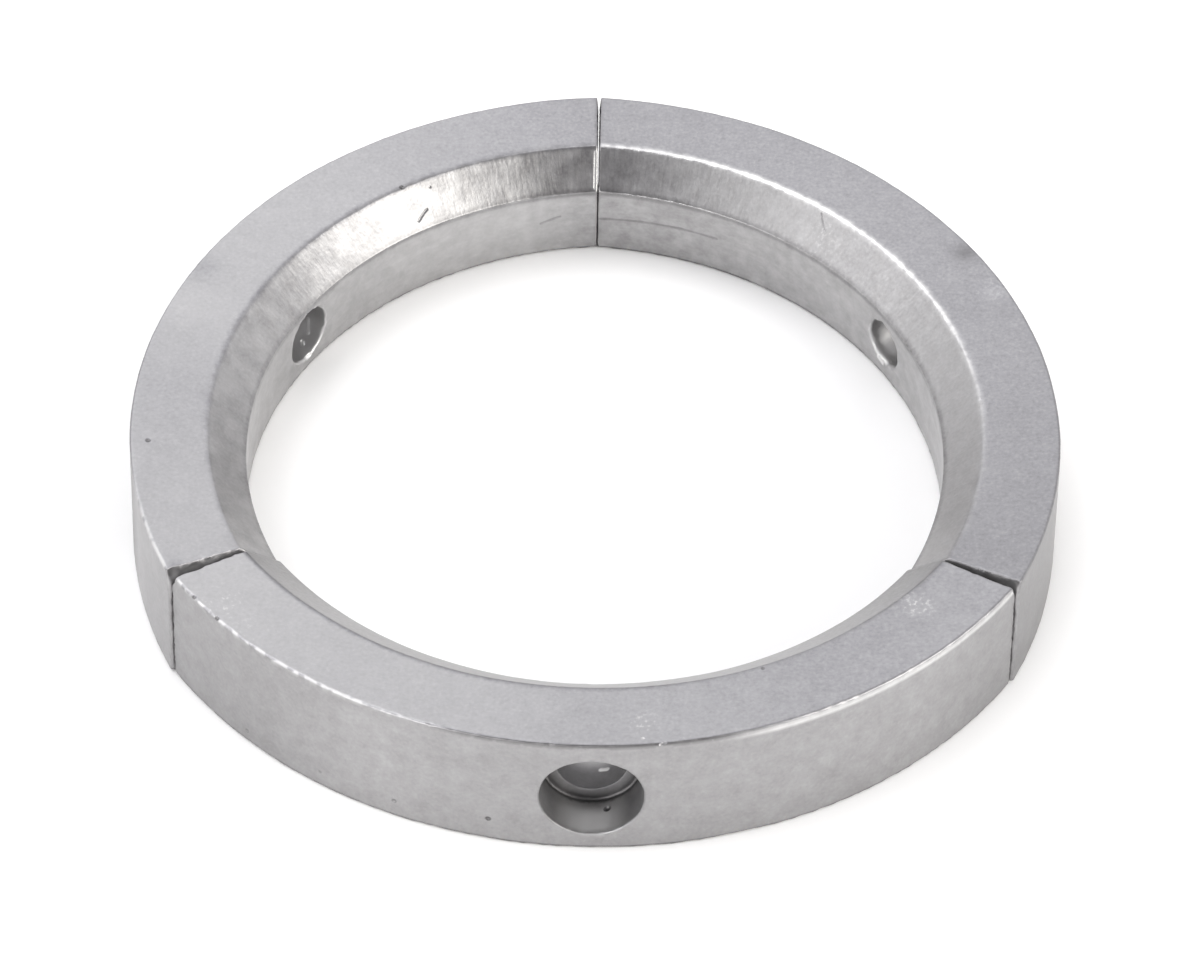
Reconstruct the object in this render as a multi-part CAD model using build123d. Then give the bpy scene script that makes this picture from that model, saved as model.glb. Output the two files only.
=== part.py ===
"""Sacrificial anode in three pieces for the hub of a folding propeller.

Three separate zinc castings lie end to end as a ring round the propeller hub.
Each casting is an arc of one section: a leaning outer wall, a top face that
dips towards the hub, a wide bevel down to a leaning inner wall, and a flat
foot. One counterbored screw hole runs through the middle of each arc.

Units are millimetres. +Z is up, along the ring's axis. The origin lies on the
ring's axis in the plane of the feet. The short front segment faces -Y.
"""

import os
from math import cos, radians, sin, tan

from build123d import *

# Section of one segment, as radii about the segment's own arc centre
OUTER_RADIUS = 55.0  # top edge of the outer wall
TOP_FACE_WIDTH = 8.4  # outer top edge to inner top edge, measured radially
TOP_FACE_DIP = 1.15  # how far the inner top edge lies below the outer one
HEIGHT = 15.1  # foot to outer top edge
BEVEL_WIDTH = 4.0  # radial width of the bevel between top face and inner wall
BEVEL_DROP = 4.15  # height of the same bevel
WALL_LEAN = 4.9  # degrees; both walls run outwards on their way down
EDGE_ROUND = 0.45  # radius worn on the three upper long edges
FOOT_CHAMFER = 0.25  # width of the break along the two long edges of the foot

# How the segments lie round the ring's axis
ARC_SHIFT = 4.0  # a segment's arc centre lies this far behind the ring's axis
FRONT_SPAN = 113.8  # degrees of the ring taken by the front segment
BACK_JOINT = 90.0  # azimuth in degrees of the joint between the rear segments
JOINT_GAP = 0.2  # width of a joint at the middle of the inner wall
JOINT_FLARE = 2.6  # degrees between the two end faces that meet at a joint
END_CHAMFER = 0.12  # width of the break along the edges of the end faces

# Counterbored screw hole through the middle of each segment
HOLE_HEIGHT = 7.4  # where the hole's axis meets the outer wall, above the foot
HOLE_TILT = 10.0  # degrees; the axis climbs on its way out of the ring
SCREW_HOLE = 7.4  # diameter of the through hole
COUNTERBORE = 10.5  # diameter of the recess for the screw's head
HEAD_DEPTH = 5.6  # depth of the recess below the outer wall


def lean(height):
    """How far a leaning wall stands further out at the foot than this high up."""
    return height * tan(radians(WALL_LEAN))


def top_inner_edge():
    """Radius and height of the edge between the top face and the bevel."""
    return OUTER_RADIUS - TOP_FACE_WIDTH, HEIGHT - TOP_FACE_DIP


def bevel_foot():
    """Radius and height of the edge between the bevel and the inner wall."""
    radius, height = top_inner_edge()
    return radius - BEVEL_WIDTH, height - BEVEL_DROP


def section():
    """The cast section in the XZ plane, with no sharp edge left on it."""
    inner_radius, inner_height = bevel_foot()
    corners = [
        (OUTER_RADIUS + lean(HEIGHT), 0),
        (OUTER_RADIUS, HEIGHT),
        top_inner_edge(),
        (inner_radius, inner_height),
        (inner_radius + lean(inner_height), 0),
    ]
    outline = make_face(Polyline(*corners, close=True))
    outline = fillet(outline.vertices().filter_by(lambda v: v.Y > 0), EDGE_ROUND)
    foot = outline.vertices().filter_by(lambda v: v.Y == 0)
    return Plane.XZ * chamfer(foot, FOOT_CHAMFER)


def joints():
    """Azimuths of the back, left and right joints."""
    front_half = FRONT_SPAN / 2
    return BACK_JOINT, 270 - front_half, 270 + front_half


def outwards(azimuth, radius):
    """The point at this radius and azimuth in the plane of the feet."""
    angle = radians(azimuth)
    return Vector(radius * cos(angle), radius * sin(angle), 0)


def sector(start, end):
    """A tall wedge that keeps what lies between two joints, less their gaps.

    The two faces of a joint flare apart outwards from an apex inside the ring.
    """
    inner_radius, _ = bevel_foot()
    flare = JOINT_FLARE / 2
    apex = inner_radius - ARC_SHIFT - JOINT_GAP / 2 / tan(radians(flare))
    reach = 2 * OUTER_RADIUS
    first = outwards(start, apex)
    last = outwards(end, apex)
    corners = [
        (0, 0, 0),
        first,
        first + outwards(start + flare, reach),
        outwards((start + end) / 2, reach),
        last + outwards(end - flare, reach),
        last,
    ]
    return extrude(make_face(Polyline(*corners, close=True)), HEIGHT, both=True)


def screw_axis(azimuth):
    """The hole's frame: origin on the outer wall, Z pointing out of the ring."""
    wall_radius = OUTER_RADIUS + lean(HEIGHT - HOLE_HEIGHT) - ARC_SHIFT
    climb = Vector(0, 0, tan(radians(HOLE_TILT)))
    return Plane(
        origin=outwards(azimuth, wall_radius) + Vector(0, 0, HOLE_HEIGHT),
        z_dir=outwards(azimuth, 1) + climb,
    )


def screw_hole(azimuth):
    """Cutter for the through hole and the recess for the screw's head."""
    upwards = (Align.CENTER, Align.CENTER, Align.MIN)
    through = Cylinder(SCREW_HOLE / 2, OUTER_RADIUS)
    recess = Cylinder(COUNTERBORE / 2, OUTER_RADIUS, align=upwards)
    return screw_axis(azimuth) * (through + Pos(0, 0, -HEAD_DEPTH) * recess)


def end_edges(body):
    """The edges round the two flat end faces."""
    upright = [
        face
        for face in body.faces().filter_by(GeomType.PLANE)
        if abs(face.normal_at().Z) < 0.01
    ]
    return ShapeList(edge for face in upright for edge in face.edges())


def segment(start, end):
    """One casting between the joints at these two azimuths."""
    middle = (start + end) / 2
    ring = Pos(outwards(middle, -ARC_SHIFT)) * revolve(section(), Axis.Z)
    body = ring & sector(start, end)
    body = chamfer(end_edges(body), END_CHAMFER)
    return body - screw_hole(middle)


def main():
    back, left, right = joints()
    segments = {
        "segment_left": segment(back, left),
        "segment_front": segment(left, right),
        "segment_right": segment(right, back + 360),
    }
    os.makedirs("parts", exist_ok=True)
    for name, body in segments.items():
        export_step(body, f"parts/{name}.step")


main()
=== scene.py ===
"""Looks of the three-piece ring anode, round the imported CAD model.

Each CAD segment is replaced by a fine mesh of the same casting: the same
section, arc and screw hole, with the worn edges, wavy skin, pits, nicks and
scratches of the real metal, and with joints that close up below their top edges
as in the photo. A casting is described by its signed distance, in millimetres
and negative inside the metal, and its mesh is drawn on to the surface where that
distance is zero. Azimuths are in degrees about the ring's axis, with the back
joint at 90 and the front segment's middle at 270.
"""

from math import acos, atan2, cos, pi, radians, sin, tan
from typing import NamedTuple

import bmesh
import bpy
import numpy as np
from mathutils import Matrix, Vector


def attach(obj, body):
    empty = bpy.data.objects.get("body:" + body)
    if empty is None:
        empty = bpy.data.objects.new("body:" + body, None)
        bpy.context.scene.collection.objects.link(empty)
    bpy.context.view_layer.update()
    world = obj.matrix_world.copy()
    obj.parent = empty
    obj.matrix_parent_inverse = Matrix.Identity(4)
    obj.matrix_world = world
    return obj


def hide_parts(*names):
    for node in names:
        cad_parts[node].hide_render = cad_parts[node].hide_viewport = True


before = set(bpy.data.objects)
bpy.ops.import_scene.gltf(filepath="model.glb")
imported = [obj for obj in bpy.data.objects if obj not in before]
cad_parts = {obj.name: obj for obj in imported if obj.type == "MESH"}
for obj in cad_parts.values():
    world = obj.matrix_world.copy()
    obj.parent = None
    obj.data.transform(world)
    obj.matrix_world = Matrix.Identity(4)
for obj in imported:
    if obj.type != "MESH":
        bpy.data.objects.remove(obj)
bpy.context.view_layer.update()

MM = 0.001

# Section of one segment, about the segment's own arc centre
OUTER_RADIUS = 55.0
TOP_FACE_WIDTH = 8.4
TOP_FACE_DIP = 1.15
HEIGHT = 15.1
BEVEL_WIDTH = 4.0
BEVEL_DROP = 4.15
WALL_LEAN = radians(4.9)

# How the segments lie round the ring's axis
ARC_SHIFT = 4.0
FRONT_SPAN = 113.8
BACK_JOINT = 90.0
JOINT_GAP = 0.2
JOINT_FLARE = 2.6

# Share of its flare that each joint has lost, at the top edge and from a height down
FRONT_CLOSING = (0.0, 0.85)
BACK_CLOSING = (0.75, 0.97)
CLOSED_BELOW = 13.5

# Counterbored screw hole
HOLE_HEIGHT = 7.4
HOLE_TILT = radians(10.0)
SCREW_HOLE = 7.4
COUNTERBORE = 10.5
HEAD_DEPTH = 5.6
LEDGE_CORNER_BLEND = 0.2
LEDGE_EDGE_BLEND = 0.12

# How much smaller the hole's radius is at its inner mouth, and where it narrows
HOLE_CLOSING = {"segment_left": 0.15, "segment_front": 0.15, "segment_right": 0.75}
HOLE_CLOSING_RANGE = (-9.5, -12.5)

# How widely each kind of edge is rounded by wear
CROWN_WEAR = 0.40
CROWN_UNEVENNESS = {"segment_left": 0.3, "segment_front": 1.0, "segment_right": 0.3}
LIP_WEAR = {"segment_left": 0.12, "segment_front": 0.12, "segment_right": 0.22}
BORE_WEAR = 0.05
FOOT_WEAR = 0.30
END_WEAR = 0.16
MOUTH_WEAR = 0.22
INNER_MOUTH_WEAR = 0.50
INNER_MOUTH_REACH = 4.0
LEAST_WEAR = 0.25
MOST_WEAR = 2.0

# How far the end faces are worn back at their top edges: evenly at the front joints,
# and more or less from place to place at every joint, most of all at the left one
TOP_RETREAT = 0.11
LEFT_RAGGEDNESS = 0.24
OTHER_RAGGEDNESS = 0.10
LEFT_JOINT_SIDE = -10.0
RAGGED_HEIGHTS = (13.0, 14.2)

# How softly a mark's rim meets the metal, and how far round it the mesh is fine
MARK_BLEND = 0.06
MARK_MARGIN = 0.25

# Mesh: grid size of the first skin, and how sharply a face may turn before it is split
VOXEL = 0.44
SPLIT_TURN = radians(9)
SPLIT_ROUNDS = 2
SETTLE_STEPS = 4
SLOPE_STEP = 0.02
BLANK_STATIONS = 72
CUTTER_LENGTH = 30.0
CUTTER_SIDES = 64
THROUGH_DEPTH = -20.0

# A sight line is followed in this many steps, each this share of the distance left
SIGHT_STEPS = 200
SIGHT_SHARE = 0.9

# Colours of the metal. The rubbed colour serves both rubbed metal and painted
# highlights, the dirt colour both dirt and painted shade, and the shaded colour is
# painted shade inside the screw hole.
COOL_ZINC = (0.3625, 0.3592, 0.3775, 1)
PALE_ZINC = (0.4083, 0.405, 0.4233, 1)
WARM_ZINC = (0.4108, 0.4067, 0.41, 1)
BROWN_ZINC = (0.3542, 0.3442, 0.3425, 1)
SHADED_ZINC = (0.1833, 0.1808, 0.185, 1)
RUBBED_AND_HIGHLIGHT_ZINC = (0.7167, 0.7125, 0.7083, 1)
DIRT_AND_SHADE = (0.0833, 0.0808, 0.0817, 1)

# How rough the material's noise is
NOISE_ROUGHNESS = 0.55

# Camera
CAMERA_PLACE = Vector((-1.154, -214.647, 220.535)) * MM
CAMERA_TARGET = Vector((0.646, -1.003, 0.0)) * MM
CAMERA_ROLL = radians(1.162)
IMAGE_WIDTH = 1200
IMAGE_HEIGHT = 976
FOCAL_PIXELS = 2654.2
SENSOR_WIDTH = 36.0
NEAR_CLIP = 0.01
FAR_CLIP = 10.0

# Studio
FLOOR_REACH = 3.0
FLOOR_DROP = 0.00005
FLOOR_COLOUR = (0.96, 0.96, 0.96, 1)
ROOM_RADIANCE = (0.936, 0.93, 0.944)


class Glow(NamedTuple):
    """A soft round patch of the room that is brighter, or darker, than the rest.

    Angles are in degrees. It is full up to the core and gone at the reach.
    """

    what: str
    azimuth: float
    elevation: float
    core: float
    reach: float
    radiance: tuple


GLOWS = [
    Glow("key light at the front right", 334, 20, 8, 32, (4.60, 4.51, 4.25)),
    Glow("fill light at the front left", 240, 5, 8, 32, (4.03, 4.03, 3.98)),
    Glow("high light at the back left", 155, 65, 8, 32, (2.4, 2.4, 2.4)),
    Glow("low light on the left", 188, 5, 8, 32, (1.7, 1.7, 1.7)),
    Glow("dark side behind the camera", 270, 47, 14, 45, (-0.76, -0.76, -0.76)),
]


class Lumps(NamedTuple):
    """Smooth noise, with its size in millimetres, its height and its own seed."""

    size: float
    height: float
    seed: int


FINE_WEAR = Lumps(0.7, 0.50, 0)
SLOW_WEAR = Lumps(3.0, 0.15, 1)
SLOW_SKIN = Lumps(7.0, 0.030, 2)
FINE_SKIN = Lumps(2.2, 0.010, 3)
HOLE_SKIN = Lumps(0.8, 0.030, 4)
BEADS = Lumps(0.6, 1.0, 5)
BLOTCHES = Lumps(1.5, 1.0, 6)
HOLE_PATCHES = Lumps(1.0, 0.08, 7)

# How far the cast skin lies below the true surface, on average, and where the
# screw hole's rougher skin starts: outside the recess and along its axis
SKIN_DEPTH = 0.045
HOLE_SKIN_RIM = (0.3, 0.0)
HOLE_SKIN_START = (0.5, -0.5)


class Mark(NamedTuple):
    """A blemish that the photo shows, cut along a trail of photo pixels. The glints, the
    lit streak and the lit end are painted highlights, the bright nicks are real nicks with
    a painted glint, and the dark end of the bevel is painted shade in the back joint.

    Radius and depth are in millimetres. Tone runs from -1, dark, to 1, bright.
    """

    what: str
    trail: list
    radius: float
    depth: float
    tone: float


MARKS = {
    "segment_left": [
        Mark("scratch on the bevel", [(419, 221), (423, 214), (427, 209)], 0.16, 0.08, -0.5),
        Mark("smear on the inner wall", [(541, 224), (551, 220), (560, 217)], 0.14, 0.05, -0.3),
        # painted highlight on the lit end of the bevel
        Mark("lit end of the bevel", [(595.4, 152), (594.8, 188)], 0.20, 0.03, 1.0),
        Mark("pit on the top face", [(148, 440)], 0.26, 0.16, -0.8),
        Mark("nick in the lip", [(402, 187)], 0.28, 0.16, -0.7),
        Mark("specks on the bevel", [(430, 187)], 0.16, 0.06, -0.5),
        # painted highlights: a lit streak and glints inside the hole
        Mark("streak in the hole", [(308, 319), (308, 333)], 0.24, 0.05, 0.7),
        Mark("glint on the hole's edge", [(302, 341), (303, 344)], 0.22, 0.10, 1.0),
        Mark("glint at the hole's foot", [(307, 358), (310, 355)], 0.26, 0.10, 1.0),
    ],
    "segment_front": [
        Mark("low pit on the left", [(247, 731)], 0.20, 0.12, -0.4),
        Mark("second low pit", [(394, 801)], 0.22, 0.14, -0.5),
        Mark("third low pit", [(488, 819)], 0.24, 0.18, -0.8),
        Mark("faint pit", [(320, 772)], 0.14, 0.06, -0.3),
        Mark("notch in the crown", [(194, 597)], 0.22, 0.16, -0.5),
        Mark("second notch in the crown", [(217, 618)], 0.22, 0.16, -0.5),
        # real nicks with a painted glint
        Mark("nick by the crown", [(643, 738)], 0.14, 0.08, 0.5),
        Mark("second nick by the crown", [(661, 745), (665, 743)], 0.16, 0.08, 0.7),
        Mark("dark nick at the lip", [(763, 668)], 0.16, 0.10, -0.6),
        Mark("pit in the recess", [(607, 808.5)], 0.34, 0.26, -1.0),
        # painted highlight deep in the screw hole
        Mark("glint in the screw hole", [(601, 769.5), (607, 769)], 0.30, 0.04, 1.0),
    ],
    "segment_right": [
        Mark("mould line inside", [(601, 219), (640, 222), (680, 229), (716, 239)], 0.20, 0.05, -0.4),
        # painted highlight on the hole's edge
        Mark("glint on the hole's edge", [(878, 357), (882, 363)], 0.28, 0.10, 1.0),
        Mark("crack on the bevel", [(822, 213), (823, 222), (825, 230)], 0.12, 0.05, -0.4),
        # painted shade at the end of the bevel, in the back joint
        Mark("dark end of the bevel", [(599.2, 152), (598.6, 186)], 0.14, 0.02, -0.9),
    ],
}


class Stain(NamedTuple):
    """A soft patch of another tone round a photo pixel, this many millimetres wide."""

    what: str
    pixel: tuple
    width: float
    tone: float
    flecks: float


STAINS = {
    "segment_left": [
        Stain("dark cloud on the top face", (203, 267), 4.0, -0.22, 0.0),
        Stain("pale cloud on the top face", (185, 305), 5.0, 0.08, 0.0),
        # painted shade: darkens the bevel by the back joint, where it mirrors the dark side of the
        # room
        Stain("dark cloud by the back joint", (583, 166), 3.2, -0.35, 0.0),
        Stain("pale flecks by the crown", (150, 540), 5.0, 0.02, 0.5),
        Stain("dirt by the front joint", (176, 565), 1.6, -0.35, 0.0),
    ],
    "segment_front": [
        Stain("bright flecks by the crown", (222, 601), 6.5, 0.04, 1.0),
        Stain("bright flecks further on", (252, 628), 5.0, 0.04, 0.8),
        Stain("pale rubbed patch", (643, 722), 3.0, 0.06, 0.9),
        Stain("rough pale patch", (918, 605), 3.2, 0.12, 1.0),
        Stain("cool patch on the wall", (250, 712), 5.0, -0.05, 0.0),
        Stain("pale patch on the wall", (955, 647), 8.0, 0.06, 0.0),
    ],
    "segment_right": [
        Stain("dark cloud on the top face", (966, 252), 3.0, -0.45, 0.0),
        Stain("pale smear on the top face", (993, 290), 2.4, 0.20, 0.4),
        Stain("pale patch on the bevel", (822, 235), 5.0, 0.12, 0.5),
        # painted shade: darkens the bevel by the back joint, where it mirrors the dark side of the
        # room
        Stain("dark cloud by the back joint", (618, 165), 5.0, -0.22, 0.0),
    ],
}

# Tone of each face and edge, from -1, dark, to 1, bright, at these azimuths. Past 360
# the right segment's azimuths run on to its end at the back joint. Most of these tones
# are painted light and shade: faces lighter or darker as the light falls on them,
# painted highlights and dark lines of painted shade along the crown, brow, lip and
# bevel foot, and painted shadow along the foot where it meets the floor.
TONES = {
    "segment_left": {
        "outer": [(190, -0.72), (200, 0.05), (209, -0.05), (213, -0.1)],
        "top": [(92, -0.08), (110, 0.08), (135, 0.25), (165, 0.30), (180, 0.13), (200, 0.25)],
        "bevel": [
            (97, 0.24), (105, 0.14), (115, 0.05), (135, -0.06),
            (145, 0.04), (155, 0.02), (165, 0.18),
        ],
        "inner": [(92, 0.07), (103, 0.33), (125, 0.3), (135, 0.24), (213, 0.2)],
        "crown": [(90, -0.1), (195, -0.1), (203, 0.3), (213, 0.45)],
        "brow": [(90, 0.0), (213, 0.0)],
        "lip": [(90, -0.4), (100, -0.5), (160, -0.5), (185, -0.25), (213, -0.2)],
        "bevel foot": [(90, -0.7), (110, -0.55), (160, -0.4), (213, -0.3)],
        "foot": [(90, -0.8), (150, -0.6), (213, -0.45)],
    },
    "segment_front": {
        "outer": [(217, -0.17), (230, -0.2), (245, -0.05), (258, -0.15), (310, -0.04), (322, -0.2)],
        "top": [(213, 0.35), (240, 0.32), (255, 0.3), (270, 0.15), (285, 0.12), (300, 0.03)],
        "bevel": [(213, -0.25), (230, -0.1), (250, -0.22), (275, -0.1), (300, -0.02), (327, -0.2)],
        "inner": [(213, 0.1), (327, 0.1)],
        "crown": [(213, 0.45), (247, 0.4), (255, -0.75), (284, -0.8), (292, -0.65), (327, -0.65)],
        "brow": [(213, 0.0), (284, 0.0), (291, 1.0), (327, 1.0)],
        "lip": [(213, -0.5), (250, -0.35), (300, -0.1), (327, -0.15)],
        "bevel foot": [(213, -0.2), (327, -0.2)],
        "foot": [(213, -0.5), (250, -0.6), (270, -0.9), (290, -0.6), (327, -0.5)],
    },
    "segment_right": {
        "outer": [(327, -0.36), (340, -0.34), (450, -0.15)],
        "top": [(327, -0.2), (350, -0.14), (390, -0.11), (420, -0.09), (450, -0.1)],
        "bevel": [
            (365, 0.25), (380, 0.15), (400, 0.0), (408, 0.04),
            (415, 0.2), (425, 0.22), (445, 0.08),
        ],
        "inner": [(327, 0.12), (400, 0.19), (420, 0.13), (435, 0.02), (450, 0.02)],
        "crown": [(327, -0.15), (450, -0.15)],
        "brow": [(327, 0.0), (450, 0.0)],
        "lip": [(327, -0.1), (350, 0.05), (368, 0.4), (385, 0.8), (430, 0.9), (450, 0.6)],
        "bevel foot": [(327, -0.4), (350, -0.55), (450, -0.55)],
        "foot": [(327, -0.4), (385, -0.9), (450, -0.9)],
    },
}

# How far the gaps between its beads darken each bright edge, a painted highlight
BEADED = {"crown": 1.6, "brow": 0.15, "lip": 0.5}
BEAD_GAPS = (0.3, -0.4)

# How strongly the bevel's tone wanders. It is twice as strong towards the back joint.
BEVEL_BLOTCHES = {"segment_left": 0.18, "segment_front": 0.0, "segment_right": 0.03}
STRONG_BLOTCHES = (125, 110)

# Painted faces and edges, whose lines are painted highlights and painted shade: how
# far a face's share runs past its edge, how far each line lies off the edge it follows,
# how wide the lines are and how steep their sides
FACE_BLEND = 0.3
CROWN_DROP = 0.12
CROWN_WIDTH = 0.40
BROW_DROP = 0.58
BROW_WIDTH = 0.60
LIP_WIDTH = 0.16
LIP_WIDTH_BY_WEAR = 0.75
LIP_WIDTH_BY_PLACE = 0.08
BEVEL_FOOT_DROP = 0.12
BEVEL_FOOT_WIDTH = 0.50
FOOT_WIDTH = 0.42
LINE_STEEPNESS = 1.6

# Tone of the end faces, painted shade in the joint, which darkens between two heights,
# and where it takes over
JOINT_TONE = -0.12
JOINT_DARKENING = 0.38
JOINT_DARK_HEIGHTS = (13.0, 14.0)
BY_JOINT_RANGE = (-0.5, -0.05)

# How far outside a mark's radius its tone starts, and is full
MARK_TONE_RANGE = (0.12, 0.02)

# Painted light and shade in the screw hole: a shaded wall, a lit fan on its lower side,
# a pale inner mouth lit from inside the ring, and painted shade in the ledge's corner.
# Each range runs from none to all of it.
IN_HOLE_GAP = (0.3, 0.1)
PAST_MOUTH = (0.2, -0.3)
FAN_BELOW_AXIS = (0.60, 0.97)
FAN_OFF_LEDGE = 0.7
FAN_PAST_MOUTH = (-0.2, -1.2)
FAN_TONE = 0.95
INNER_PALE_RANGE = (-2.0, -5.0)
INNER_PALENESS = 0.6
LEDGE_SQUASH = 2.5
LEDGE_SHADE = (1.3, 0.4)
LEDGE_BARE = (0.8, 0.4)

# Mixes the three coordinates of a cell into one place in a table of random numbers
HASH = (73856093, 19349663, 83492791)
TABLE_SIZE = 4096


# ---------------------------------------------------------------- the casting


def lean(height):
    """How far a leaning wall stands further out at the foot than this high up."""
    return height * tan(WALL_LEAN)


TOP_INNER = (OUTER_RADIUS - TOP_FACE_WIDTH, HEIGHT - TOP_FACE_DIP)
BEVEL_FOOT = (TOP_INNER[0] - BEVEL_WIDTH, TOP_INNER[1] - BEVEL_DROP)
CORNERS = [
    (OUTER_RADIUS + lean(HEIGHT), 0.0),
    (OUTER_RADIUS, HEIGHT),
    TOP_INNER,
    BEVEL_FOOT,
    (BEVEL_FOOT[0] + lean(BEVEL_FOOT[1]), 0.0),
]


def outwards(azimuth):
    """The flat unit vector at this azimuth."""
    return np.array([cos(radians(azimuth)), sin(radians(azimuth))])


def soft_max(a, b, blend):
    """The larger of two distances, rounded over a blend this wide."""
    overlap = np.maximum(blend - np.abs(a - b), 0)
    return np.maximum(a, b) + overlap**2 / (4 * blend)


def soft_min(a, b, blend):
    return -soft_max(-a, -b, blend)


def fade(value, start, end):
    """0 at the start of a range, 1 at its end, and smooth between them."""
    share = np.clip((value - start) / (end - start), 0, 1)
    return share * share * (3 - 2 * share)


def lumps(points, size, seed):
    """Smooth noise from -1 to 1 whose lumps are about this many millimetres across."""
    table = np.random.default_rng(seed).uniform(-1, 1, TABLE_SIZE)
    cell = points / size
    base = np.floor(cell).astype(np.int64)
    ease = fade(cell - base, 0, 1)
    total = np.zeros(len(points))
    for corner in np.ndindex(2, 2, 2):
        x, y, z = (base + corner).T
        weight = np.prod(np.where(corner, ease, 1 - ease), axis=1)
        total += weight * table[(x * HASH[0] ^ y * HASH[1] ^ z * HASH[2]) % TABLE_SIZE]
    return total


def camera_turn():
    """The camera's rotation: aimed at its target, then rolled."""
    aim = (CAMERA_TARGET - CAMERA_PLACE).to_track_quat("-Z", "Y").to_matrix()
    return aim @ Matrix.Rotation(CAMERA_ROLL, 3, "Z")


def sight_line(pixel):
    """Where the camera stands, and which way it looks through a photo pixel, in mm."""
    across = (pixel[0] - IMAGE_WIDTH / 2) / FOCAL_PIXELS
    down = (pixel[1] - IMAGE_HEIGHT / 2) / FOCAL_PIXELS
    direction = camera_turn() @ Vector((across, -down, -1))
    return np.array(CAMERA_PLACE) / MM, np.array(direction.normalized())


class Casting:
    """One segment between the joints at two azimuths."""

    def __init__(self, name, start, end, seed):
        self.name = name
        self.seed = seed
        self.middle = (start + end) / 2
        self.centre = -ARC_SHIFT * outwards(self.middle)
        flare = JOINT_FLARE / 2
        apex = BEVEL_FOOT[0] - ARC_SHIFT - JOINT_GAP / 2 / tan(radians(flare))
        self.ends = [
            (apex * outwards(start), outwards(start + flare - 90)),
            (apex * outwards(end), outwards(end - flare + 90)),
        ]
        self.cuts = []  # the marks are placed on metal that has none yet
        self.cuts = [self.trail_on_surface(mark) for mark in MARKS[name]]

    def unevenness(self, points, kind):
        """One kind of lumps, which lie differently on each casting."""
        return kind.height * lumps(points, kind.size, self.seed + kind.seed)

    def section_distances(self, points):
        """Distance past each of the five long faces: outer, top, bevel, inner, foot."""
        radius = np.hypot(points[:, 0] - self.centre[0], points[:, 1] - self.centre[1])
        height = points[:, 2]
        distances = []
        for (r0, z0), (r1, z1) in zip(CORNERS, CORNERS[1:] + CORNERS[:1]):
            length = np.hypot(r1 - r0, z1 - z0)
            across = ((z1 - z0) * (radius - r0) - (r1 - r0) * (height - z0)) / length
            distances.append(across)
        return distances

    def end_distances(self, points):
        """Distance past each end face. A joint is wider at its top edge."""
        below = fade(points[:, 2], HEIGHT, CLOSED_BELOW)
        distances = []
        for apex, normal in self.ends:
            at_top, at_foot = FRONT_CLOSING if apex[1] < 0 else BACK_CLOSING
            closing = at_top + (at_foot - at_top) * below
            offset = points[:, :2] - apex
            shift = closing * tan(radians(JOINT_FLARE / 2)) * np.linalg.norm(offset, axis=1)
            distances.append(offset @ normal - shift)
        return distances

    def hole_axis(self):
        """Where the screw hole's axis meets the outer wall, and the way out along it."""
        out = outwards(self.middle)
        wall = OUTER_RADIUS + lean(HEIGHT - HOLE_HEIGHT) - ARC_SHIFT
        origin = np.array([*(wall * out), HOLE_HEIGHT])
        return origin, np.array([*(out * cos(HOLE_TILT)), sin(HOLE_TILT)])

    def hole_frame(self, points):
        """Distance from the screw hole's axis, and place along it from the wall."""
        origin, axis = self.hole_axis()
        offset = points - origin
        along = offset @ axis
        return np.linalg.norm(offset - np.outer(along, axis), axis=1), along

    def hole_distance(self, points):
        """Distance outside the counterbored hole."""
        radial, along = self.hole_frame(points)
        recess = soft_max(radial - COUNTERBORE / 2, -HEAD_DEPTH - along, LEDGE_CORNER_BLEND)
        closing = HOLE_CLOSING[self.name] * fade(along, *HOLE_CLOSING_RANGE)
        return soft_min(recess, radial + closing - SCREW_HOLE / 2, LEDGE_EDGE_BLEND)

    def wear(self, points):
        """How much more or less than usual the edges are worn at these points."""
        fine = self.unevenness(points, FINE_WEAR)
        slow = self.unevenness(points, SLOW_WEAR)
        return np.clip(1 + fine + slow, LEAST_WEAR, MOST_WEAR)

    def raggedness(self, points, wear):
        """How far the end faces are worn back at their top edges."""
        on_left = points[:, 0] < LEFT_JOINT_SIDE
        uneven = np.where(on_left, LEFT_RAGGEDNESS, OTHER_RAGGEDNESS)
        retreat = np.where(points[:, 1] < 0, TOP_RETREAT, 0)
        worn = retreat + uneven * (wear - LEAST_WEAR)
        return worn * fade(points[:, 2], *RAGGED_HEIGHTS)

    def distance(self, points, wear=1.0):
        """Signed distance of the worn casting."""
        outer, top, bevel, inner, foot = self.section_distances(points)
        uneven = 1 + CROWN_UNEVENNESS[self.name] * (wear - 1)
        crown = soft_max(outer, top, CROWN_WEAR * uneven)
        bore = soft_max(bevel, inner, BORE_WEAR * wear)
        body = soft_max(crown, bore, LIP_WEAR[self.name] * wear)
        body = soft_max(body, foot, FOOT_WEAR * wear)
        ragged = self.raggedness(points, wear)
        for end in self.end_distances(points):
            body = soft_max(body, end + ragged, END_WEAR * wear)
        _, along = self.hole_frame(points)
        inner_mouth = fade(along, -HEAD_DEPTH, -HEAD_DEPTH - INNER_MOUTH_REACH)
        mouth_wear = MOUTH_WEAR + (INNER_MOUTH_WEAR - MOUTH_WEAR) * inner_mouth
        body = soft_max(body, -self.hole_distance(points), mouth_wear * wear)
        for mark, places in zip(MARKS[self.name], self.cuts):
            cut = mark.radius - trail_distance(points, places)
            body = soft_max(body, cut, MARK_BLEND)
        return body

    def gradient(self, points, wear=1.0):
        """The distance's slope, which points out of the metal."""
        slopes = []
        for step in SLOPE_STEP * np.eye(3):
            ahead = self.distance(points + step, wear)
            slopes.append(ahead - self.distance(points - step, wear))
        return np.stack(slopes, axis=1) / (2 * SLOPE_STEP)

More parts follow.
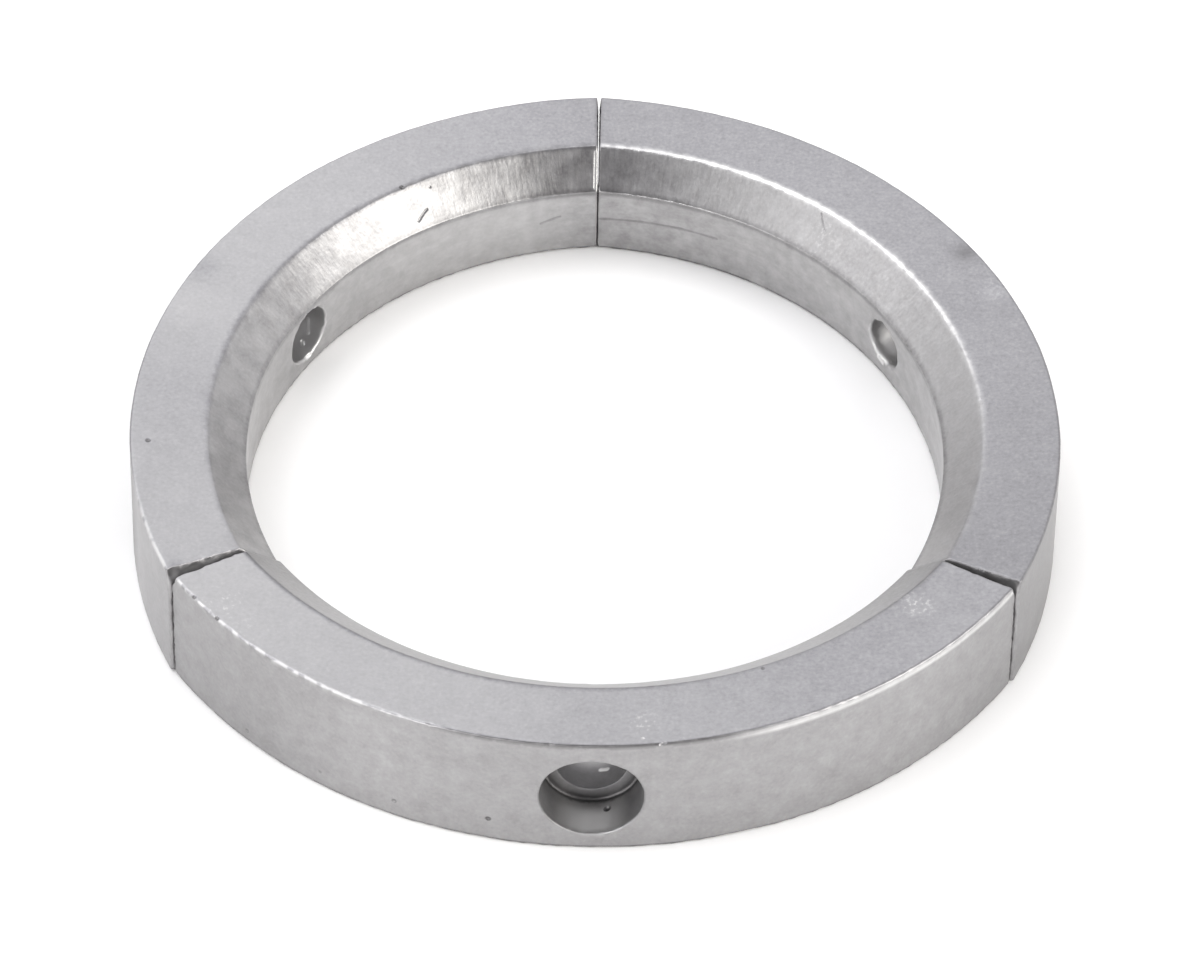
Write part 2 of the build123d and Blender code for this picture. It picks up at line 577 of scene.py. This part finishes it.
    def normals(self, points):
        slope = self.gradient(points)
        return slope / np.linalg.norm(slope, axis=1)[:, None]

    def settle(self, points):
        """Moves points on to the surface, along the distance's own slope."""
        for _ in range(SETTLE_STEPS):
            wear = self.wear(points)
            slope = self.gradient(points, wear)
            steep = np.maximum((slope**2).sum(axis=1), 0.2)
            points = points - slope * (self.distance(points, wear) / steep)[:, None]
        return points

    def seen_at(self, pixel):
        """The point of the surface that the camera sees at this photo pixel."""
        start, direction = sight_line(pixel)
        travelled = 0.0
        for _ in range(SIGHT_STEPS):
            point = start + travelled * direction
            travelled += SIGHT_SHARE * float(self.distance(point[None])[0])
        return point

    def trail_on_surface(self, mark):
        """Centres of the balls that cut a mark to its depth."""
        places = []
        for pixel in mark.trail:
            point = self.seen_at(pixel)
            normal = self.gradient(point[None])[0]
            places.append(point + normal * (mark.radius - mark.depth))
        return np.array(places)

    def meet_end(self, radius, which):
        """Angle about the arc centre where a circle meets an end face."""
        apex, normal = self.ends[which]
        facing = atan2(normal[1], normal[0])
        turn = acos((normal @ (apex - self.centre)) / radius)
        return facing + turn * (1 if which == 0 else -1)

    def blank(self):
        """The casting as swept flat strips, with closed ends."""
        made = bmesh.new()
        rows = []
        for radius, height in CORNERS:
            first, last = self.meet_end(radius, 0), self.meet_end(radius, 1)
            span = (last - first) % (2 * pi)
            row = []
            for step in range(BLANK_STATIONS + 1):
                angle = first + span * step / BLANK_STATIONS
                x = self.centre[0] + radius * cos(angle)
                y = self.centre[1] + radius * sin(angle)
                row.append(made.verts.new((x, y, height)))
            rows.append(row)
        for row, following in zip(rows, rows[1:] + rows[:1]):
            for step in range(BLANK_STATIONS):
                made.faces.new(
                    (row[step], following[step], following[step + 1], row[step + 1])
                )
        made.faces.new([row[0] for row in reversed(rows)])
        made.faces.new([row[-1] for row in rows])
        bmesh.ops.recalc_face_normals(made, faces=made.faces)
        return mesh_object(self.name + "_blank", made)

    def cutter(self, radius, inner_end):
        """A cylinder on the screw hole's axis, from this depth out past the wall."""
        made = bmesh.new()
        bmesh.ops.create_cone(
            made,
            cap_ends=True,
            segments=CUTTER_SIDES,
            radius1=radius,
            radius2=radius,
            depth=CUTTER_LENGTH,
        )
        origin, axis = self.hole_axis()
        middle = Vector(origin + axis * (inner_end + CUTTER_LENGTH / 2))
        turn = Vector(axis).to_track_quat("Z", "Y").to_matrix().to_4x4()
        made.transform(Matrix.Translation(middle) @ turn)
        return mesh_object(self.name + "_cutter", made)


def trail_distance(points, places):
    """Distance from a line of straight stretches through these places."""
    nearest = np.linalg.norm(points - places[0], axis=1)
    for start, end in zip(places, places[1:]):
        along = end - start
        share = np.clip((points - start) @ along / (along @ along), 0, 1)
        gap = np.linalg.norm(points - start - np.outer(share, along), axis=1)
        nearest = np.minimum(nearest, gap)
    return nearest


def mesh_object(name, made):
    """A linked object that takes over a bmesh."""
    mesh = bpy.data.meshes.new(name)
    made.to_mesh(mesh)
    made.free()
    thing = bpy.data.objects.new(name, mesh)
    bpy.context.scene.collection.objects.link(thing)
    return thing


def evaluated_mesh(thing):
    depsgraph = bpy.context.evaluated_depsgraph_get()
    return bpy.data.meshes.new_from_object(thing.evaluated_get(depsgraph))


def rough_skin(casting):
    """An even net of small faces close to the casting's surface."""
    blank = casting.blank()
    through = casting.cutter(SCREW_HOLE / 2, THROUGH_DEPTH)
    recess = casting.cutter(COUNTERBORE / 2, -HEAD_DEPTH)
    for cutter in (through, recess):
        cut = blank.modifiers.new("hole", "BOOLEAN")
        cut.operation = "DIFFERENCE"
        cut.solver = "EXACT"
        cut.object = cutter
    net = blank.modifiers.new("net", "REMESH")
    net.mode = "VOXEL"
    net.voxel_size = VOXEL * 1.0
    mesh = evaluated_mesh(blank)
    for thing in (blank, through, recess):
        bpy.data.objects.remove(thing)
    return mesh


def read_points(mesh):
    points = np.empty(len(mesh.vertices) * 3)
    mesh.vertices.foreach_get("co", points)
    return points.reshape(-1, 3)


def write_points(mesh, points):
    mesh.vertices.foreach_set("co", points.ravel())
    mesh.update()


def split_sharp(mesh, casting):
    """Splits the faces that turn sharply or hold a mark, so that both stay crisp."""
    points = read_points(mesh)
    slope = casting.normals(points)
    marked = np.zeros(len(points), bool)
    for mark, places in zip(MARKS[casting.name], casting.cuts):
        marked |= trail_distance(points, places) < mark.radius + MARK_MARGIN
    made = bmesh.new()
    made.from_mesh(mesh)
    made.verts.ensure_lookup_table()
    limit = cos(SPLIT_TURN)
    edges = set()
    for face in made.faces:
        corners = [corner.index for corner in face.verts]
        normals = slope[corners]
        if marked[corners].any() or (normals @ normals.T).min() < limit:
            edges.update(face.edges)
    bmesh.ops.subdivide_edges(made, edges=list(edges), cuts=1, use_grid_fill=True)
    made.to_mesh(mesh)
    made.free()


def sunken(casting, points):
    """How far the cast skin lies below the true surface, as a negative height."""
    radial, along = casting.hole_frame(points)
    in_hole = fade(radial - COUNTERBORE / 2, *HOLE_SKIN_RIM)
    in_hole = in_hole * fade(along, *HOLE_SKIN_START)
    height = casting.unevenness(points, SLOW_SKIN) + casting.unevenness(points, FINE_SKIN)
    height += in_hole * casting.unevenness(points, HOLE_SKIN)
    return height - SKIN_DEPTH


def shade_hole(casting, points):
    """How shaded the screw hole's wall is, then how much painted shade lies in the ledge's
    corner, then how pale it is with painted light.

    The recess is painted dark, as shade, but for a pale fan of painted light on its lower
    side. Painted shade lies on the ledge at its end, in the corner. The inner mouth is
    pale with painted light from inside the ring.
    """
    radial, along = casting.hole_frame(points)
    off_ledge = along + HEAD_DEPTH
    inside = fade(casting.hole_distance(points), *IN_HOLE_GAP) * fade(along, *PAST_MOUTH)
    below = (HOLE_HEIGHT + along * sin(HOLE_TILT) - points[:, 2]) / np.maximum(radial, 1)
    lit = fade(below, *FAN_BELOW_AXIS) * fade(off_ledge, 0, FAN_OFF_LEDGE)
    inwards = fade(off_ledge, *INNER_PALE_RANGE)
    corner = np.hypot(radial - COUNTERBORE / 2, LEDGE_SQUASH * off_ledge)
    # painted shade in the ledge's corner
    ledge_shade = inside * fade(corner, *LEDGE_SHADE)
    # painted light: a lit fan on the recess's lower side and a pale inner mouth
    fan = lit * fade(along, *FAN_PAST_MOUTH)
    pale = inside * np.maximum(fan, INNER_PALENESS * inwards)
    patches = HOLE_PATCHES.height + casting.unevenness(points, HOLE_PATCHES)
    bare = fade(corner, *LEDGE_BARE) + patches
    shaded = inside * (1 - lit) * (1 - inwards) * np.clip(1 - bare, 0, 1)
    return shaded, ledge_shade, pale


def corner_share(a, b, width):
    """1 on and near the edge where two faces meet, down to 0 this far from it."""
    return np.clip(LINE_STEEPNESS * (1 - np.hypot(a, b) / width), 0, 1)


def surface_shares(casting, points):
    """How much each point belongs to each face and edge that has tones of its own."""
    outer, top, bevel, inner, foot = casting.section_distances(points)
    faces = {"outer": outer, "top": top, "bevel": bevel, "inner": inner}
    shares = {name: np.clip(1 + past / FACE_BLEND, 0, 1) for name, past in faces.items()}
    shares["crown"] = corner_share(outer, top + CROWN_DROP, CROWN_WIDTH)
    shares["brow"] = corner_share(outer, top + BROW_DROP, BROW_WIDTH)
    lip_width = LIP_WIDTH + LIP_WIDTH_BY_WEAR * LIP_WEAR[casting.name]
    lip_width = lip_width + LIP_WIDTH_BY_PLACE * casting.wear(points)
    shares["lip"] = corner_share(top, bevel, lip_width)
    shares["bevel foot"] = corner_share(bevel + BEVEL_FOOT_DROP, inner, BEVEL_FOOT_WIDTH)
    shares["foot"] = np.clip(LINE_STEEPNESS * (1 + foot / FOOT_WIDTH), 0, 1)
    return shares


def azimuths(casting, points):
    """Azimuths that run on without a jump from one end of the casting to the other."""
    azimuth = np.degrees(np.arctan2(points[:, 1], points[:, 0]))
    return casting.middle + (azimuth - casting.middle + 180) % 360 - 180


def surface_tone(casting, points, shares):
    """Tone of the faces and their edges, mostly painted light and shade, with beads along
    the bright ones, which are painted highlights.
    """
    azimuth = azimuths(casting, points)
    gaps = fade(casting.unevenness(points, BEADS), *BEAD_GAPS)
    tone = np.zeros(len(points))
    for name, share in shares.items():
        stops, tones = zip(*TONES[casting.name][name])
        level = np.interp(azimuth, stops, tones)
        if name in BEADED:
            level = np.where(level > 0, level * (1 - BEADED[name] * gaps), level)
        tone += share * level
    return tone


def bevel_blotches(casting, points, bevel):
    """How the bevel's tone wanders."""
    azimuth = azimuths(casting, points)
    strength = BEVEL_BLOTCHES[casting.name] * (1 + fade(azimuth, *STRONG_BLOTCHES))
    return strength * bevel * casting.unevenness(points, BLOTCHES)


def add_marks(casting, points, tone, shaded):
    """Adds the tones of the marks, painted highlights and painted shade among them. A bright
    mark is not shaded by its hole.
    """
    for mark, places in zip(MARKS[casting.name], casting.cuts):
        gap = trail_distance(points, places) - mark.radius
        share = fade(gap, *MARK_TONE_RANGE)
        tone = tone + mark.tone * share
        shaded = shaded * (1 - share * max(mark.tone, 0))
    return tone, shaded


def add_stains(casting, points, tone):
    """Adds the tones of the stains, two of them painted shade by the back joint, and gives
    how many flecks they bring.
    """
    flecks = np.zeros(len(points))
    for stain in STAINS[casting.name]:
        gap = np.linalg.norm(points - casting.seen_at(stain.pixel), axis=1)
        share = np.exp(-((2 * gap / stain.width) ** 2))
        tone = tone + stain.tone * share
        flecks = np.maximum(flecks, stain.flecks * share)
    return tone, flecks


def paint(mesh, casting, points):
    """Stores what the material needs to know about each point of the mesh.

    "kind" holds the shares of top face, bevel and inner wall. "tone" holds light or
    dark from -1 to 1 as 0 to 1, painted highlights and painted shade among it, how
    polished an edge is, and how many flecks there are. "lay" holds millimetres along
    the arc, then radius plus height, which grows steadily across every face of the
    section, then how shaded the hole's wall is.
    """
    shares = surface_shares(casting, points)
    tone = surface_tone(casting, points, shares)
    # Painted shade in the joints: the end faces and the metal just by them darken
    by_joint = fade(np.max(casting.end_distances(points), axis=0), *BY_JOINT_RANGE)
    joint_tone = JOINT_TONE - JOINT_DARKENING * fade(points[:, 2], *JOINT_DARK_HEIGHTS)
    tone = tone * (1 - by_joint) + joint_tone * by_joint
    tone = tone + bevel_blotches(casting, points, shares["bevel"])
    polished = np.maximum(shares["crown"], shares["lip"]) * (1 - by_joint)
    shaded, ledge_shade, pale = shade_hole(casting, points)
    # painted light on the hole's fan and inner mouth, and painted shade in the ledge's corner
    tone = tone + FAN_TONE * pale - ledge_shade
    tone, shaded = add_marks(casting, points, tone, shaded)
    tone, flecks = add_stains(casting, points, tone)

    x, y = (points[:, :2] - casting.centre).T
    sweep = (np.arctan2(y, x) - radians(casting.middle) + pi) % (2 * pi) - pi
    across = np.hypot(x, y) + points[:, 2]
    store(mesh, "kind", shares["top"], shares["bevel"], shares["inner"])
    store(mesh, "tone", 0.5 + 0.5 * np.clip(tone, -1, 1), polished, flecks)
    store(mesh, "lay", sweep * OUTER_RADIUS, across, shaded)


def store(mesh, name, *columns):
    """Stores three columns of numbers as one vector on each point."""
    layer = mesh.attributes.new(name, "FLOAT_VECTOR", "POINT")
    vectors = np.stack(columns, axis=1).astype(np.float32)
    layer.data.foreach_set("vector", vectors.ravel())


def make_casting(casting):
    """The casting's fine mesh, drawn on to its surface, then sunk and painted."""
    mesh = rough_skin(casting)
    write_points(mesh, casting.settle(read_points(mesh)))
    for _ in range(SPLIT_ROUNDS):
        split_sharp(mesh, casting)
        write_points(mesh, casting.settle(read_points(mesh)))
    points = read_points(mesh)
    sunk = casting.normals(points) * sunken(casting, points)[:, None]
    write_points(mesh, points + sunk)
    paint(mesh, casting, points)
    mesh.transform(Matrix.Scale(MM, 4))
    mesh.name = casting.name + "_casting"
    mesh.polygons.foreach_set("use_smooth", [True] * len(mesh.polygons))
    piece = bpy.data.objects.new(mesh.name, mesh)
    bpy.context.scene.collection.objects.link(piece)
    return piece


# ------------------------------------------------------------------- materials


class Nodes:
    """Short ways to add and join the nodes of one material."""

    def __init__(self, name):
        self.material = bpy.data.materials.new(name)
        self.material.use_nodes = True
        self.tree = self.material.node_tree
        self.shader = self.tree.nodes["Principled BSDF"]

    def add(self, kind, inputs=None, **settings):
        node = self.tree.nodes.new("ShaderNode" + kind)
        for key, value in settings.items():
            setattr(node, key, value)
        for key, value in (inputs or {}).items():
            self.put(node.inputs[key], value)
        return node

    def put(self, socket, value):
        """Feeds a socket from a number, a colour or another node's output."""
        if isinstance(value, bpy.types.NodeSocket):
            self.tree.links.new(value, socket)
        else:
            socket.default_value = value

    def maths(self, operation, *values):
        node = self.add("Math", operation=operation)
        for socket, value in zip(node.inputs, values):
            self.put(socket, value)
        return node.outputs[0]

    def noise(self, coordinates, size, detail=3.0, offset=0.0):
        """Noise about 0.5 whose lumps are about this many millimetres across."""
        moved = self.add(
            "VectorMath", {0: coordinates, 1: (offset, 0, -offset)}, operation="ADD"
        )
        inputs = {
            "Vector": moved.outputs[0],
            "Scale": 1 / size,
            "Detail": detail,
            "Roughness": NOISE_ROUGHNESS,
        }
        return self.add("TexNoise", inputs).outputs["Fac"]

    def spread(self, value, low, high, to_low=0.0, to_high=1.0):
        """Maps a range to another one and stops at its ends."""
        inputs = {0: value, 1: low, 2: high, 3: to_low, 4: to_high}
        return self.add("MapRange", inputs).outputs[0]

    def stored(self, name):
        """The three numbers that a casting's mesh stores under this name."""
        vector = self.add("Attribute", attribute_name=name).outputs["Vector"]
        return self.add("SeparateXYZ", {0: vector}).outputs

    def stretch(self, coordinates, along, across):
        """Coordinates on a face, scaled along the arc and across it."""
        scaled = {0: coordinates, 1: (along, across, 0)}
        return self.add("VectorMath", scaled, operation="MULTIPLY").outputs[0]

    def bump(self, height, depth, below=None):
        """A normal bumped this many millimetres deep, over another bump."""
        inputs = {"Strength": 1.0, "Distance": depth * MM, "Height": height}
        if below is not None:
            inputs["Normal"] = below
        return self.add("Bump", inputs).outputs[0]

    def mix(self, share, first, second):
        node = self.add("Mix", data_type="RGBA")
        self.put(node.inputs["Factor"], share)
        self.put(node.inputs["A"], first)
        self.put(node.inputs["B"], second)
        return node.outputs["Result"]


def zinc():
    """Cast zinc: satin and finely grained, with bright rubbed and dark places of dirt,
    and with painted highlights and painted shade.
    """
    n = Nodes("zinc")
    place = n.add("TexCoord").outputs["Object"]
    mm = n.add("VectorMath", {0: place, 1: (1 / MM,) * 3}, operation="MULTIPLY").outputs[0]
    kind = n.stored("kind")
    # the stored tone holds painted highlights and painted shade as well as wear and stains
    wear = n.stored("tone")
    lay = n.add("Attribute", attribute_name="lay").outputs["Vector"]
    shaded = n.add("SeparateXYZ", {0: lay}).outputs[2]
    noises = {
        "cloud": n.noise(mm, 9.0),
        "mottle": n.noise(mm, 1.8, offset=31),
        "grain": n.noise(mm, 0.42, offset=57),
        "crossing": n.noise(n.stretch(lay, 1.0, 0.2), 0.7, detail=4, offset=11),
        "lengthways": n.noise(n.stretch(lay, 0.22, 1.0), 0.7, detail=4, offset=71),
        "speckle": n.noise(mm, 0.9, detail=2, offset=83),
    }
    colour = cast_colour(n, noises, kind)
    colour = worn_and_painted_light_colour(n, noises, kind, wear, colour)
    colour = n.mix(n.maths("MULTIPLY", shaded, 0.55), colour, SHADED_ZINC)
    n.put(n.shader.inputs["Base Color"], colour)
    n.shader.inputs["Metallic"].default_value = 1.0
    roughness = zinc_roughness(n, noises, kind, wear, shaded)
    n.put(n.shader.inputs["Roughness"], roughness)
    n.put(n.shader.inputs["Normal"], zinc_skin(n, noises, kind))
    return n.material


def cast_colour(n, noises, kind):
    """Colour of clean metal: cool on the top face, streaky on the bevel, mottled."""
    top, bevel, inner = kind
    mottle = noises["mottle"]
    cool = n.mix(noises["cloud"], COOL_ZINC, PALE_ZINC)
    warm = n.mix(mottle, BROWN_ZINC, WARM_ZINC)
    colour = n.mix(n.spread(top, 0.0, 1.0, 0.75, 0.0), cool, warm)
    streaks = n.spread(noises["crossing"], 0.45, 0.72, 0.0, 0.45)
    colour = n.mix(n.maths("MULTIPLY", bevel, streaks), colour, BROWN_ZINC)
    specks = n.spread(noises["speckle"], 0.48, 0.68, 0.0, 0.35)
    colour = n.mix(n.maths("MULTIPLY", bevel, specks), colour, BROWN_ZINC)
    uneven = n.maths("MULTIPLY_ADD", inner, 0.9, 0.6)
    pale = n.maths("MULTIPLY", uneven, n.spread(mottle, 0.5, 0.75, 0.0, 0.14))
    colour = n.mix(pale, colour, RUBBED_AND_HIGHLIGHT_ZINC)
    dull = n.maths("MULTIPLY", uneven, n.spread(mottle, 0.5, 0.25, 0.0, 0.14))
    colour = n.mix(dull, colour, DIRT_AND_SHADE)
    fibres = n.spread(noises["lengthways"], 0.5, 0.75, 0.0, 0.16)
    return n.mix(n.maths("MULTIPLY", inner, fibres), colour, RUBBED_AND_HIGHLIGHT_ZINC)


def worn_and_painted_light_colour(n, noises, kind, wear, colour):
    """The colour with its grain, its flecks and the light and dark stored tones, which hold
    painted highlights and painted shade as well as wear and stains.
    """
    top, bevel, _ = kind
    tone, _, flecks = wear
    grain = noises["grain"]
    upper = n.maths("MAXIMUM", top, bevel)
    grainy = n.maths("MULTIPLY_ADD", upper, 0.10, 0.12)
    pale = n.maths("MULTIPLY", grainy, n.spread(grain, 0.52, 0.80))
    colour = n.mix(pale, colour, RUBBED_AND_HIGHLIGHT_ZINC)
    dull = n.maths("MULTIPLY", grainy, n.spread(grain, 0.48, 0.20))
    colour = n.mix(dull, colour, DIRT_AND_SHADE)
    flecked = n.maths("MULTIPLY", flecks, upper)
    glinting = n.maths("MULTIPLY", flecked, n.spread(grain, 0.52, 0.66, 0.0, 0.8))
    # bright tones, painted highlights among them, turn towards rubbed metal; dark tones, painted
    # shade among them, turn towards dirt
    bright = n.maths("MAXIMUM", n.spread(tone, 0.5, 1.0), glinting)
    colour = n.mix(bright, colour, RUBBED_AND_HIGHLIGHT_ZINC)
    return n.mix(n.spread(tone, 0.5, 0.0, 0.0, 0.85), colour, DIRT_AND_SHADE)


def zinc_roughness(n, noises, kind, wear, shaded):
    """Duller on the top face and in the hole, smoother on the bevel and worn edges."""
    top, bevel, _ = kind
    _, polished, _ = wear
    rough = n.maths("MULTIPLY_ADD", top, 0.12, 0.40)
    rough = n.maths("MULTIPLY_ADD", bevel, -0.10, rough)
    rough = n.maths("MULTIPLY_ADD", shaded, 0.20, rough)
    rough = n.maths("MULTIPLY_ADD", noises["mottle"], 0.10, rough)
    return n.maths("MULTIPLY_ADD", polished, -0.08, rough)


def zinc_skin(n, noises, kind):
    """The finest unevenness of the skin, as bumps one over another."""
    _, bevel, _ = kind
    skin = n.bump(noises["mottle"], 0.018)
    skin = n.bump(n.maths("MULTIPLY", noises["crossing"], bevel), 0.032, skin)
    skin = n.bump(noises["speckle"], 0.010, skin)
    return n.bump(noises["grain"], 0.012, skin)


def floor_paint():
    """Plain pale and nearly matt."""
    n = Nodes("floor_paint")
    n.shader.inputs["Base Color"].default_value = FLOOR_COLOUR
    n.shader.inputs["Roughness"].default_value = 0.9
    n.shader.inputs["Specular IOR Level"].default_value = 0.1
    return n.material


# ---------------------------------------------------------------------- studio


def make_camera():
    """The photo's camera, as the fit of the photo's outlines gives it."""
    data = bpy.data.cameras.new("camera")
    data.sensor_fit = "HORIZONTAL"
    data.sensor_width = SENSOR_WIDTH
    data.lens = FOCAL_PIXELS / IMAGE_WIDTH * SENSOR_WIDTH
    data.clip_start = NEAR_CLIP
    data.clip_end = FAR_CLIP
    camera = bpy.data.objects.new("camera", data)
    camera.matrix_world = Matrix.Translation(CAMERA_PLACE) @ camera_turn().to_4x4()
    bpy.context.scene.collection.objects.link(camera)
    bpy.context.scene.camera = camera


def make_floor():
    made = bmesh.new()
    reach = FLOOR_REACH
    corners = [(-reach, -reach), (reach, -reach), (reach, reach), (-reach, reach)]
    made.faces.new([made.verts.new((x, y, -FLOOR_DROP)) for x, y in corners])
    floor = mesh_object("floor", made)
    floor.data.materials.append(floor_paint())


def glow_share(tree, facing, glow):
    """1 in the directions of the glow's core, down to 0 at its reach."""
    flat = outwards(glow.azimuth) * cos(radians(glow.elevation))
    toward = tree.nodes.new("ShaderNodeVectorMath")
    toward.operation = "DOT_PRODUCT"
    toward.inputs[1].default_value = (*flat, sin(radians(glow.elevation)))
    tree.links.new(facing, toward.inputs[0])
    share = tree.nodes.new("ShaderNodeMapRange")
    share.interpolation_type = "SMOOTHSTEP"
    share.inputs["From Min"].default_value = cos(radians(glow.reach))
    share.inputs["From Max"].default_value = cos(radians(glow.core))
    tree.links.new(toward.outputs["Value"], share.inputs["Value"])
    return share.outputs[0]


def make_room():
    """Soft light from all round, with the glows added to its even level."""
    world = bpy.data.worlds.new("room")
    bpy.context.scene.world = world
    world.use_nodes = True
    tree = world.node_tree
    facing = tree.nodes.new("ShaderNodeTexCoord").outputs["Generated"]
    radiance = None
    for glow in GLOWS:
        total = tree.nodes.new("ShaderNodeVectorMath")
        total.operation = "MULTIPLY_ADD"
        tree.links.new(glow_share(tree, facing, glow), total.inputs[0])
        total.inputs[1].default_value = glow.radiance
        if radiance is None:
            total.inputs[2].default_value = ROOM_RADIANCE
        else:
            tree.links.new(radiance, total.inputs[2])
        radiance = total.outputs[0]
    tree.links.new(radiance, tree.nodes["Background"].inputs["Color"])


def make_studio():
    make_floor()
    make_room()
    bpy.context.scene.view_settings.view_transform = "Standard"


def make_castings():
    """The three castings, each in the place of its CAD node."""
    half = FRONT_SPAN / 2
    joints = (BACK_JOINT, 270 - half, 270 + half)
    castings = [
        Casting("segment_left", joints[0], joints[1], seed=10),
        Casting("segment_front", joints[1], joints[2], seed=20),
        Casting("segment_right", joints[2], joints[0] + 360, seed=30),
    ]
    metal = zinc()
    for casting in castings:
        piece = make_casting(casting)
        piece.data.materials.clear()
        piece.data.materials.append(metal)
        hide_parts(casting.name)
        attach(piece, "root")


make_castings()
make_camera()
make_studio()
